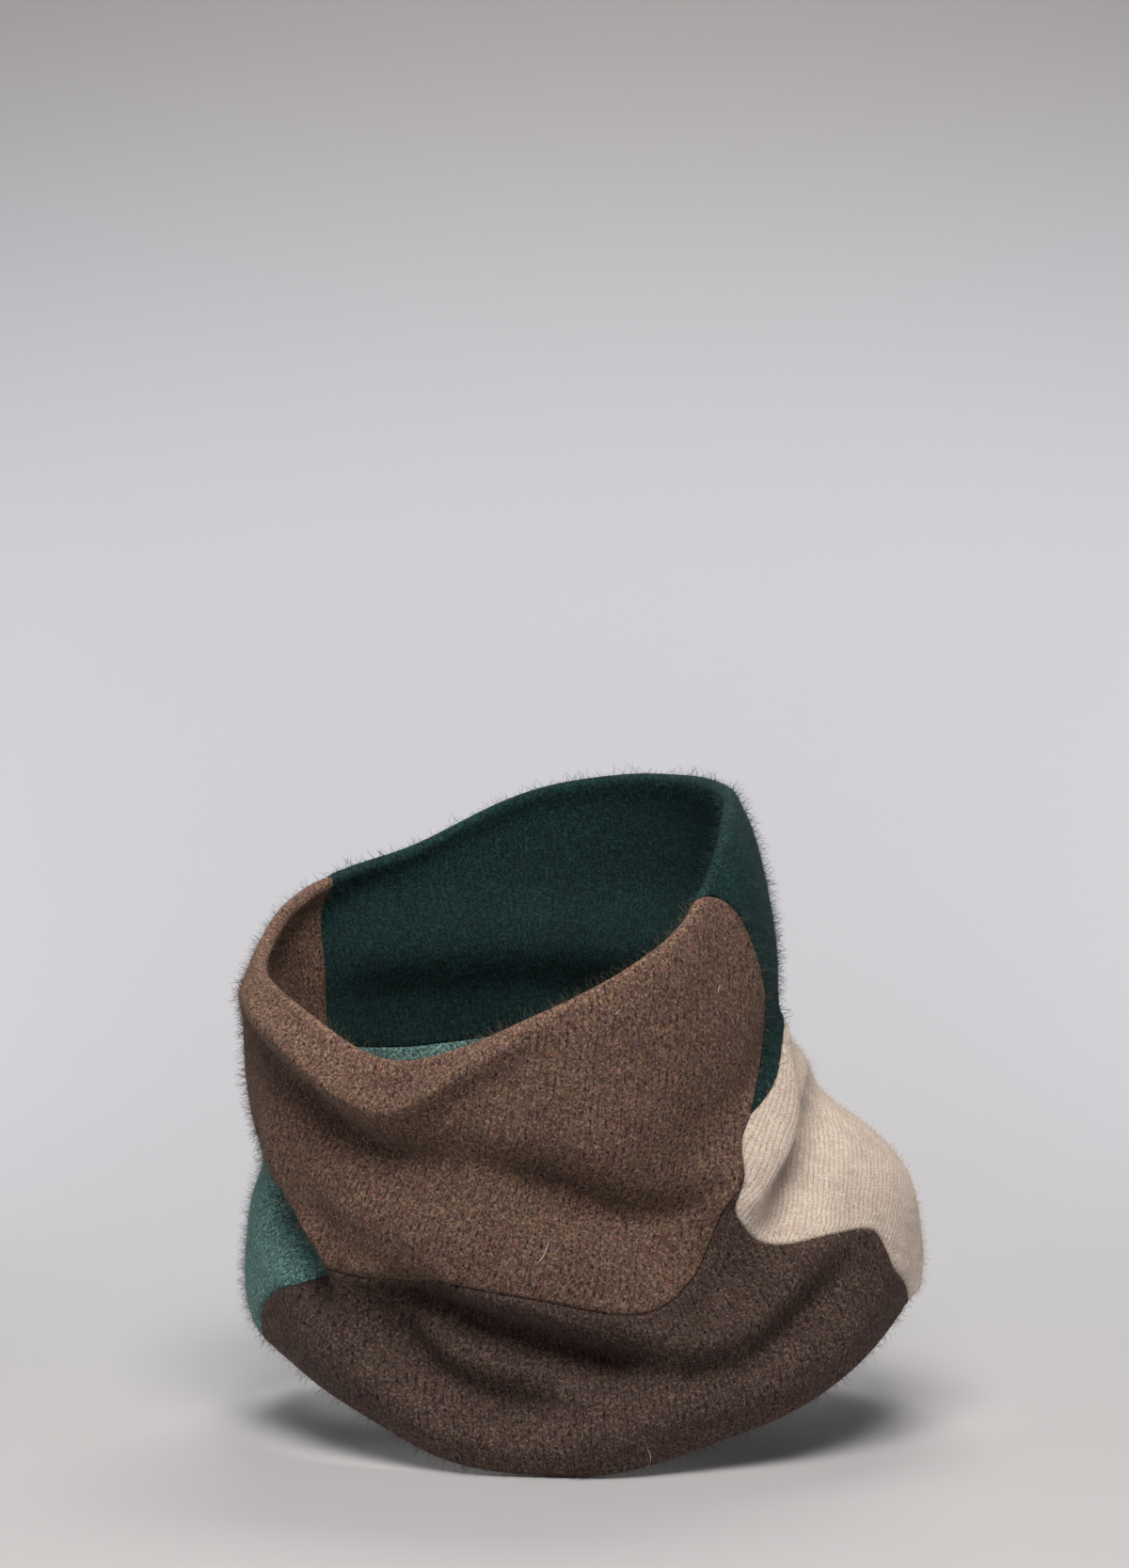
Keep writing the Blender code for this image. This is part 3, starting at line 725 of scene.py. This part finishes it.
def fibre_shapes():
    """Tapered fibres, one unit long and standing on the origin: straight ones, then curled."""
    chance = np.random.default_rng(3)
    shapes = bpy.data.collections.new("fibre_shapes")
    for number in range(STRAIGHT_FIBRES + CURLED_FIBRES):
        joints = [(0.0, 1.0, np.zeros(2))]  # rise, thickness, drift
        if number >= STRAIGHT_FIBRES:
            joints.append((0.5, 0.8, chance.uniform(-0.35, 0.35, 2)))
        tip = joints[-1][2] + chance.uniform(-0.3, 0.3, 2)
        vertices = [(drift[0] + FIBRE_HALF_WIDTH * thickness * np.cos(turn),
                     drift[1] + FIBRE_HALF_WIDTH * thickness * np.sin(turn), rise)
                    for rise, thickness, drift in joints for turn in THREE_SIDES]
        vertices.append((*tip, 0.95))
        last = 3 * (len(joints) - 1)
        faces = [(2, 1, 0)]
        for k in range(3):
            after = (k + 1) % 3
            faces += [(low + k, low + after, low + 3 + after, low + 3 + k)
                      for low in range(0, last, 3)]
            faces.append((last + k, last + after, last + 3))
        mesh = bpy.data.meshes.new(f"fibre_shape_{number}")
        mesh.from_pydata(vertices, [], faces)
        mesh.shade_smooth()
        shapes.objects.link(bpy.data.objects.new(f"fibre_shape_{number}", mesh))
    return shapes


FIBRES = fibre_shapes()


def fibre_coat_tree():
    """Strews loose fibres over a cloth, thickest on its face, leaning every way."""
    tree = bpy.data.node_groups.new("fibre_coat", "GeometryNodeTree")
    inputs = (
        # name, kind of socket
        ("Cloth", "Geometry"),
        ("Fibres per square metre", "Float"),
        ("Shortest fibre", "Float"),
        ("Longest fibre", "Float"),
        ("Least spread", "Float"),
        ("Short fibres", "Float"),
        ("Least lean", "Float"),
        ("Most lean", "Float"),
        ("Shapes", "Collection"),
        ("Finish", "Material"),
        ("Seed", "Int"),
    )
    for name, kind in inputs:
        tree.interface.new_socket(name, in_out="INPUT", socket_type=f"NodeSocket{kind}")
    tree.interface.new_socket("Coat", in_out="OUTPUT", socket_type="NodeSocketGeometry")
    given = add(tree, "NodeGroupInput")
    pile = add(tree, "GeometryNodeInputNamedAttribute", {"data_type": "FLOAT"}, Name="pile")[0]
    density = add(tree, "ShaderNodeMath", {"operation": "MULTIPLY"}, pile,
                  given["Fibres per square metre"])[0]
    points = add(tree, "GeometryNodeDistributePointsOnFaces", Mesh=given["Cloth"],
                 Density=density, Seed=given["Seed"])
    shapes = add(tree, "GeometryNodeCollectionInfo", Collection=given["Shapes"],
                 Separate_Children=True, Reset_Children=True)[0]
    chance, lean, spin, shade = (
        add(tree, "FunctionNodeRandomValue", {"data_type": "FLOAT"}, _2=least, _3=most,
            Seed=seed)[1]
        for least, most, seed in ((0.0, 1.0, 4), (given["Least lean"], given["Most lean"], 1),
                                  (0.0, 2 * np.pi, 2), (0.0, 1.0, 9)))
    straight, curled = (
        add(tree, "FunctionNodeRandomValue", {"data_type": "INT"}, _4=first,
            _5=first + count - 1, Seed=seed)[2]
        for first, count, seed in ((0, STRAIGHT_FIBRES, 5), (STRAIGHT_FIBRES, CURLED_FIBRES, 6)))
    is_long = add(tree, "FunctionNodeCompare", {"data_type": "FLOAT", "operation": "GREATER_THAN"},
                  chance, given["Short fibres"])[0]
    choice = add(tree, "GeometryNodeSwitch", {"input_type": "INT"}, is_long, straight, curled)[0]
    turn = add(tree, "ShaderNodeCombineXYZ", X=lean, Z=spin)[0]
    stand = add(tree, "FunctionNodeRotateRotation", {"rotation_space": "LOCAL"},
                Rotation=points["Rotation"], Rotate_By=turn)[0]
    few_long = add(tree, "ShaderNodeMath", {"operation": "POWER"}, chance, 3.0)[0]
    length = add(tree, "ShaderNodeMix", {"data_type": "FLOAT"}, few_long,
                 _2=given["Shortest fibre"], _3=given["Longest fibre"])[0]
    spread = add(tree, "ShaderNodeMath", {"operation": "MAXIMUM"}, length,
                 given["Least spread"])[0]
    size = add(tree, "ShaderNodeCombineXYZ", X=spread, Y=spread, Z=length)[0]
    coat = add(tree, "GeometryNodeInstanceOnPoints", Points=points["Points"], Instance=shapes,
               Pick_Instance=True, Instance_Index=choice, Rotation=stand, Scale=size)[0]
    shaded = add(tree, "GeometryNodeStoreNamedAttribute",
                 {"data_type": "FLOAT", "domain": "INSTANCE"}, Geometry=coat, Name="shade",
                 Value=shade)[0]
    realised = add(tree, "GeometryNodeRealizeInstances", Geometry=shaded)[0]
    finished = add(tree, "GeometryNodeSetMaterial", Geometry=realised, Material=given["Finish"])[0]
    add(tree, "NodeGroupOutput", Coat=finished)
    return tree


FIBRE_COAT = fibre_coat_tree()


def fibre_coat(piece, name, material, longest, seed):
    """The halo of loose fibres on one patch, as a plain mesh of its own."""
    maker = placed(name + "_maker", piece.data)
    modifier = maker.modifiers.new("coat", "NODES")
    modifier.node_group = FIBRE_COAT
    values = {
        "Fibres per square metre": 1.1e6,
        "Shortest fibre": 1.0 * MM,
        "Longest fibre": longest * MM,
        "Least spread": 2.2 * MM,  # short fibres are as thick as long ones
        "Short fibres": 0.7,  # straight ones, as a share of all
        "Least lean": 0.1,  # radians from upright
        "Most lean": 1.3,
        "Shapes": FIBRES,
        "Finish": material,
        "Seed": seed,
    }
    for item in FIBRE_COAT.interface.items_tree:
        if item.name in values:
            modifier[item.identifier] = values[item.name]
    evaluated = maker.evaluated_get(bpy.context.evaluated_depsgraph_get())
    mesh = bpy.data.meshes.new_from_object(evaluated)
    mesh.name = name
    bpy.data.objects.remove(maker, do_unlink=True)
    return placed(name, mesh)


def dress(piece, node, slot, fibre_face, fibre_light, longest, seed):
    """Gives a patch its coat of fibres, puts both on the root body and hides the part's own mesh.
    """
    fibre = loose_fibre(slot + "_fibre", fibre_face, fibre_light)
    coat = fibre_coat(piece, node + "_fibres", fibre, longest, seed)
    for part in (piece, coat):
        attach(part, "root")
    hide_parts(node)


waist_left = seam(WAIST_LEFT, WAIST_LEFT_FACES)
waist_front = seam(WAIST_FRONT, WAIST_FRONT_FACES)
waist_rise = seam(WAIST_RISE, WAIST_RISE_FACES)
waist_tip = seam(WAIST_TIP, WAIST_TIP_FACES)
front_to_back = seam(FRONT_TO_BACK_SEAM, FRONT_TO_BACK_FACES)
rim_left = LEFT_TO_BACK_SEAM[-1][0]
rim_right = FRONT_TO_BACK_SEAM[-1][0]

front_bottom = joined(waist_left, waist_front)
front_right = joined(waist_rise, waist_tip, front_to_back)
brown_wool = felted_wool("brown_felted_wool", face="624c41", painted_gap_shade="171010", light="977c6b",
                         flecks=("8a5547", "8c785c", "6d5d66"), knit_shows=0.25, knit_depth=0.6)
front_panel = panel("front_panel_cloth", brown_wool, "top", (0.65, 0),
                    bottom=front_bottom,
                    top=edge(rim_left, rim_right, 1, len(front_bottom) - 1),
                    left=seam(LEFT_TO_BACK_SEAM, len(front_right) - 1),
                    right=front_right)
dress(front_panel, "front_panel", "brown_wool",
      fibre_face="4f3d33", fibre_light="857161", longest=4.6, seed=21)

# ============================================================
# Front band. A patch of darker brown felted wool knit along the hem in front, used double and
# folded at the hem. A deep crescent fold runs across it where the front panel's weight hangs.
# ============================================================

BAND_TO_LEFT_SEAM = ((-73, 0.0), (-69, 0.10), (-62, 0.19), (-54.5, 0.257), (-49.5, 0.312),
                     (-46, 0.345))
BAND_TO_SHOULDER_SEAM = ((72, 0.0), (67, 0.07), (62, 0.14), (60.5, 0.22), (55, 0.27),
                         (46, 0.32), (41.5, 0.37), (42, 0.42), (46, 0.465))
BAND_SIDE_FACES = 52

band_left = seam(BAND_TO_LEFT_SEAM, BAND_SIDE_FACES)
band_right = seam(BAND_TO_SHOULDER_SEAM, BAND_SIDE_FACES)
hem_left = BAND_TO_LEFT_SEAM[0][0]
hem_right = BAND_TO_SHOULDER_SEAM[0][0]
band_top = joined(waist_front, waist_rise)
dark_wool = felted_wool("dark_brown_felted_wool", face="463732", painted_gap_shade="0e0a09", light="746158",
                        flecks=("60403a", "5f513e", "4a3f4c"), knit_shows=0.25, knit_depth=0.6)
front_band = panel("front_band_cloth", dark_wool, "bottom", (0.5, 0),
                   bottom=edge(hem_left, hem_right, 0, len(band_top) - 1),
                   top=band_top,
                   left=band_left,
                   right=band_right)
dress(front_band, "front_band", "dark_brown_wool",
      fibre_face="362b26", fibre_light="63554c", longest=4.4, seed=22)

# ============================================================
# Left panel. A patch of greyed teal felted wool knit, used double: the lower left side, carried
# on round to the centre back. Its hem is the fold of the double cloth.
# ============================================================

WAIST_BACK = ((180, 0.53), (205, 0.555), (230, 0.60))
WAIST_BACK_FACES = 50
CENTRE_BACK_SEAM = ((180, 0.0), (180, 0.53))

waist_back = seam(WAIST_BACK, WAIST_BACK_FACES)
left_top = joined(turned(waist_back, -360), waist_left)
teal_wool = felted_wool("teal_felted_wool", face="578582", painted_gap_shade="0e2024", light="9cc2ba",
                        flecks=("7f8d80", "35607a", "6f8468"), knit_shows=0.2, knit_depth=0.9)
left_panel = panel("left_panel_cloth", teal_wool, "bottom", (0.9, 0),
                   bottom=edge(-180, hem_left, 0, len(left_top) - 1),
                   top=left_top,
                   left=turned(seam(CENTRE_BACK_SEAM, BAND_SIDE_FACES), -360),
                   right=band_left)
dress(left_panel, "left_panel", "teal_wool",
      fibre_face="4b625f", fibre_light="8fa5a1", longest=4.6, seed=23)

# ============================================================
# Shoulder panel. A patch of cream wool knit, less felted than the others, so its columns of
# stitches still show. It flares over the shoulder at the right and runs on to the centre back.
# ============================================================

WAIST_RIGHT = ((56, 0.52), (65, 0.515), (73, 0.53), (82, 0.56), (96, 0.585), (120, 0.57),
               (150, 0.54), (180, 0.53))
WAIST_RIGHT_FACES = 130

waist_right = seam(WAIST_RIGHT, WAIST_RIGHT_FACES)
shoulder_left = joined(band_right, waist_tip)
cream_wool = felted_wool("cream_wool_knit", face="cec0b5", painted_gap_shade="ad9885", light="e2dad3",
                         flecks=("c9b4a3", "d8c9b9", "c0aea4"), knit_shows=0.52, knit_depth=0.4,
                         wale=1.7)
shoulder_panel = panel("shoulder_panel_cloth", cream_wool, "bottom", (0.15, 84),
                       bottom=edge(hem_right, 180, 0, len(waist_right) - 1),
                       top=waist_right,
                       left=shoulder_left,
                       right=seam(CENTRE_BACK_SEAM, len(shoulder_left) - 1))
dress(shoulder_panel, "shoulder_panel", "cream_wool",
      fibre_face="cdbfb2", fibre_light="f0e8de", longest=3.6, seed=24)

# ============================================================
# Back panel. A patch of dark petrol green felted wool knit, used double: the high rim at the
# right and the whole upper back. It has the longest coat of loose fibres of the five.
# ============================================================

back_bottom = joined(waist_right, waist_back)
petrol_wool = felted_wool("petrol_felted_wool", face="0d2828", painted_gap_shade="050d0e", light="1f4644",
                          flecks=("1c4241", "193440", "283f38"), knit_shows=0.25, knit_depth=0.6)
back_panel = panel("back_panel_cloth", petrol_wool, "top", (0.5, 0),
                   bottom=back_bottom,
                   top=edge(rim_right, rim_left + 360, 1, len(back_bottom) - 1),
                   left=front_to_back,
                   right=turned(seam(LEFT_TO_BACK_SEAM, FRONT_TO_BACK_FACES), 360))
dress(back_panel, "back_panel", "petrol_wool",
      fibre_face="163030", fibre_light="3e5e5c", longest=5.0, seed=25)

# This was the last coat, so the shapes that its fibres were copied from are taken away.
for shape in list(FIBRES.objects):
    bpy.data.objects.remove(shape, do_unlink=True)
bpy.data.collections.remove(FIBRES)

# ============================================================
# Stray hairs. A few pale hairs that have settled on the front of the cloth and are caught in
# its nap. They are of no use to a maker, but they are the brightest marks on the dark wool.
# ============================================================

HAIRS = (
    # places along the hair, as directions and shares
    ((1.5, 0.480), (3.5, 0.493), (6.0, 0.515)),
    ((9.0, 0.060), (9.6, 0.030), (9.0, 0.002)),
    ((52.4, 0.826), (53.0, 0.831), (53.6, 0.833)),
    ((26.5, 0.927), (27.0, 0.931), (27.6, 0.932)),
)
HAIR_RADIUS = 0.11  # drawn thicker than real to show
HAIR_LIFT = 0.45  # above the cloth, on its nap
HAIR_JOINTS = 9


def settled_hairs():
    """Thin tapered tubes that lie along the cloth, as one mesh."""
    vertices = []
    faces = []
    for places in HAIRS:
        turns, shares = np.array(places).T
        at = np.linspace(0, 1, HAIR_JOINTS)
        direction = curve_through((0, 0.5, 1), turns, at)
        share = curve_through((0, 0.5, 1), shares, at)
        up = outward(cloth, direction, share)
        spine = cloth(direction, share) + up * HAIR_LIFT
        along = np.gradient(spine, axis=0)
        aside = np.cross(along / np.linalg.norm(along, axis=-1, keepdims=True), up)
        # It tapers close to its two ends.
        radius = HAIR_RADIUS * np.sqrt(np.clip(1.05 - (2 * at - 1) ** 4, 0, 1))
        first = len(vertices)
        for k in range(HAIR_JOINTS):
            vertices += [spine[k] + radius[k] * (np.cos(turn) * aside[k] + np.sin(turn) * up[k])
                         for turn in THREE_SIDES]
        for low in range(first, first + 3 * (HAIR_JOINTS - 1), 3):
            faces += [(low + k, low + 3 + k, low + 3 + (k + 1) % 3, low + (k + 1) % 3)
                      for k in range(3)]
        last = first + 3 * (HAIR_JOINTS - 1)
        faces += [(first, first + 1, first + 2), (last + 2, last + 1, last)]
    mesh = bpy.data.meshes.new("stray_hairs")
    mesh.from_pydata((np.array(vertices) * MM).tolist(), [], faces)
    mesh.materials.append(loose_fibre("pale_hair", "e8e2da", "ffffff"))
    mesh.shade_smooth()
    return placed("stray_hairs", mesh)


stray_hairs = settled_hairs()
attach(stray_hairs, "root")

# ============================================================
# Studio. A pale seamless paper sweeps from the floor up behind the garment, and soft boxes hang
# above it and stand at both sides. None of it belongs to the part.
# ============================================================

FLOOR_CLEARANCE = 0.0002
SWEEP_WIDTH = 8.0
SWEEP_FRONT = -3.0
SWEEP_BACK = 1.25
SWEEP_RADIUS = 0.7
SWEEP_HEIGHT = 4.0
SHADE_FROM = 0.18  # painted shade: the paper is painted darker from this height up to the next, standing in for the light falling off up the backdrop
SHADE_TO = 0.85
ROOM_LIGHT = 0.05


def paper_sweep(floor):
    """Floor and backdrop in one curved sheet."""
    turns = np.radians(np.linspace(0, 90, 25))
    profile = [(SWEEP_FRONT, floor)]
    profile += [(SWEEP_BACK - SWEEP_RADIUS + SWEEP_RADIUS * np.sin(turn),
                 floor + SWEEP_RADIUS * (1 - np.cos(turn))) for turn in turns]
    profile.append((SWEEP_BACK, floor + SWEEP_HEIGHT))
    vertices = [(x, y, z) for y, z in profile for x in (-SWEEP_WIDTH / 2, SWEEP_WIDTH / 2)]
    faces = [(2 * k, 2 * k + 1, 2 * k + 3, 2 * k + 2) for k in range(len(profile) - 1)]
    mesh = bpy.data.meshes.new("paper_sweep")
    mesh.from_pydata(vertices, [], faces)
    mesh.shade_smooth()
    # Uncoated paper is matt, so it has no highlight. Its colour is painted darker towards the top,
    # as painted shade where less light reaches the backdrop.
    paper, tree, shader = new_material("pale_studio_paper", Roughness=0.9)
    place = add(tree, "ShaderNodeTexCoord")["Object"]
    height = add(tree, "ShaderNodeSeparateXYZ", Vector=place)["Z"]
    up = add(tree, "ShaderNodeMapRange", {"interpolation_type": "SMOOTHSTEP"}, Value=height,
             From_Min=SHADE_FROM, From_Max=SHADE_TO)[0]
    shade = add(tree, "ShaderNodeMix", {"data_type": "RGBA"}, up, _6=linear("bcbdc1"),
                _7=linear("807a76"))[2]
    tree.links.new(shade, shader.inputs["Base Color"])
    mesh.materials.append(paper)
    return placed("paper_sweep", mesh)


lowest = min(vertex.co.z for piece in (front_band, left_panel, shoulder_panel)
             for vertex in piece.data.vertices)
paper_sweep(lowest - FLOOR_CLEARANCE)

SOFT_BOXES = (
    # name, place, point it faces, width, height, watts, colour
    ("top_box", (-0.05, -0.8, 1.12), (0, -0.05, 0), 0.8, 0.7, 20.5, "fff9f2"),
    ("back_box", (0.1, 0.9, 1.2), (0, 0.05, 0), 0.7, 0.5, 9, "fff9f2"),
    ("left_box", (-1.4, -0.3, 0.7), (0, 0, 0), 0.8, 1.2, 1.5, "f4f6ff"),
    ("right_box", (1.4, -0.3, 0.7), (0, 0, 0), 0.8, 1.2, 1.5, "f8f8ff"),
    ("wall_box_left", (-0.75, 0.5, 0.05), (0.1, 1.25, 0.3), 0.4, 0.5, 5.1, "eef2ff"),
    ("wall_box_right", (0.8, 0.5, 0.05), (0.1, 1.25, 0.3), 0.4, 0.5, 5.1, "eef2ff"),
)


def aimed(thing, place, target):
    """Puts a lamp at a place, facing a point."""
    away = np.array(target, float) - np.array(place, float)
    flat = np.hypot(away[0], away[1])
    thing.location = place
    thing.rotation_euler = (np.pi / 2 + np.arctan2(away[2], flat), 0,
                            np.arctan2(-away[0], away[1]))


for name, place, target, width, height, watts, colour in SOFT_BOXES:
    lamp = bpy.data.lights.new(name, "AREA")
    lamp.shape = "RECTANGLE"
    lamp.size = width
    lamp.size_y = height
    lamp.energy = watts
    lamp.color = linear(colour)[:3]
    aimed(placed(name, lamp), place, target)

room = bpy.data.worlds.new("studio_room")
room.use_nodes = True
room.node_tree.nodes["Background"].inputs["Color"].default_value = linear("e6e8ee")
room.node_tree.nodes["Background"].inputs["Strength"].default_value = ROOM_LIGHT
bpy.context.scene.world = room
bpy.context.scene.view_settings.view_transform = "Standard"

CAMERA_DISTANCE = 1.1
CAMERA_RISE = np.radians(7)
CAMERA_ASIDE = 0.0029
FOCAL_PIXELS = 3740
PICTURE_HEIGHT = 1667
BELOW_CENTRE = 366.5  # the origin lies this many pixels below the middle of the picture

camera = bpy.data.cameras.new("camera")
camera.sensor_width = 36  # it lies along the picture's height, its longer side
camera.lens = camera.sensor_width * FOCAL_PIXELS / PICTURE_HEIGHT
camera.clip_start = 0.05
camera.clip_end = 20
viewer = placed("camera", camera)
viewer.location = (CAMERA_ASIDE, -CAMERA_DISTANCE * np.cos(CAMERA_RISE),
                   CAMERA_DISTANCE * np.sin(CAMERA_RISE))
tilt = CAMERA_RISE - np.arctan(BELOW_CENTRE / FOCAL_PIXELS)
viewer.rotation_euler = (np.pi / 2 - tilt, 0, 0)
bpy.context.scene.camera = viewer
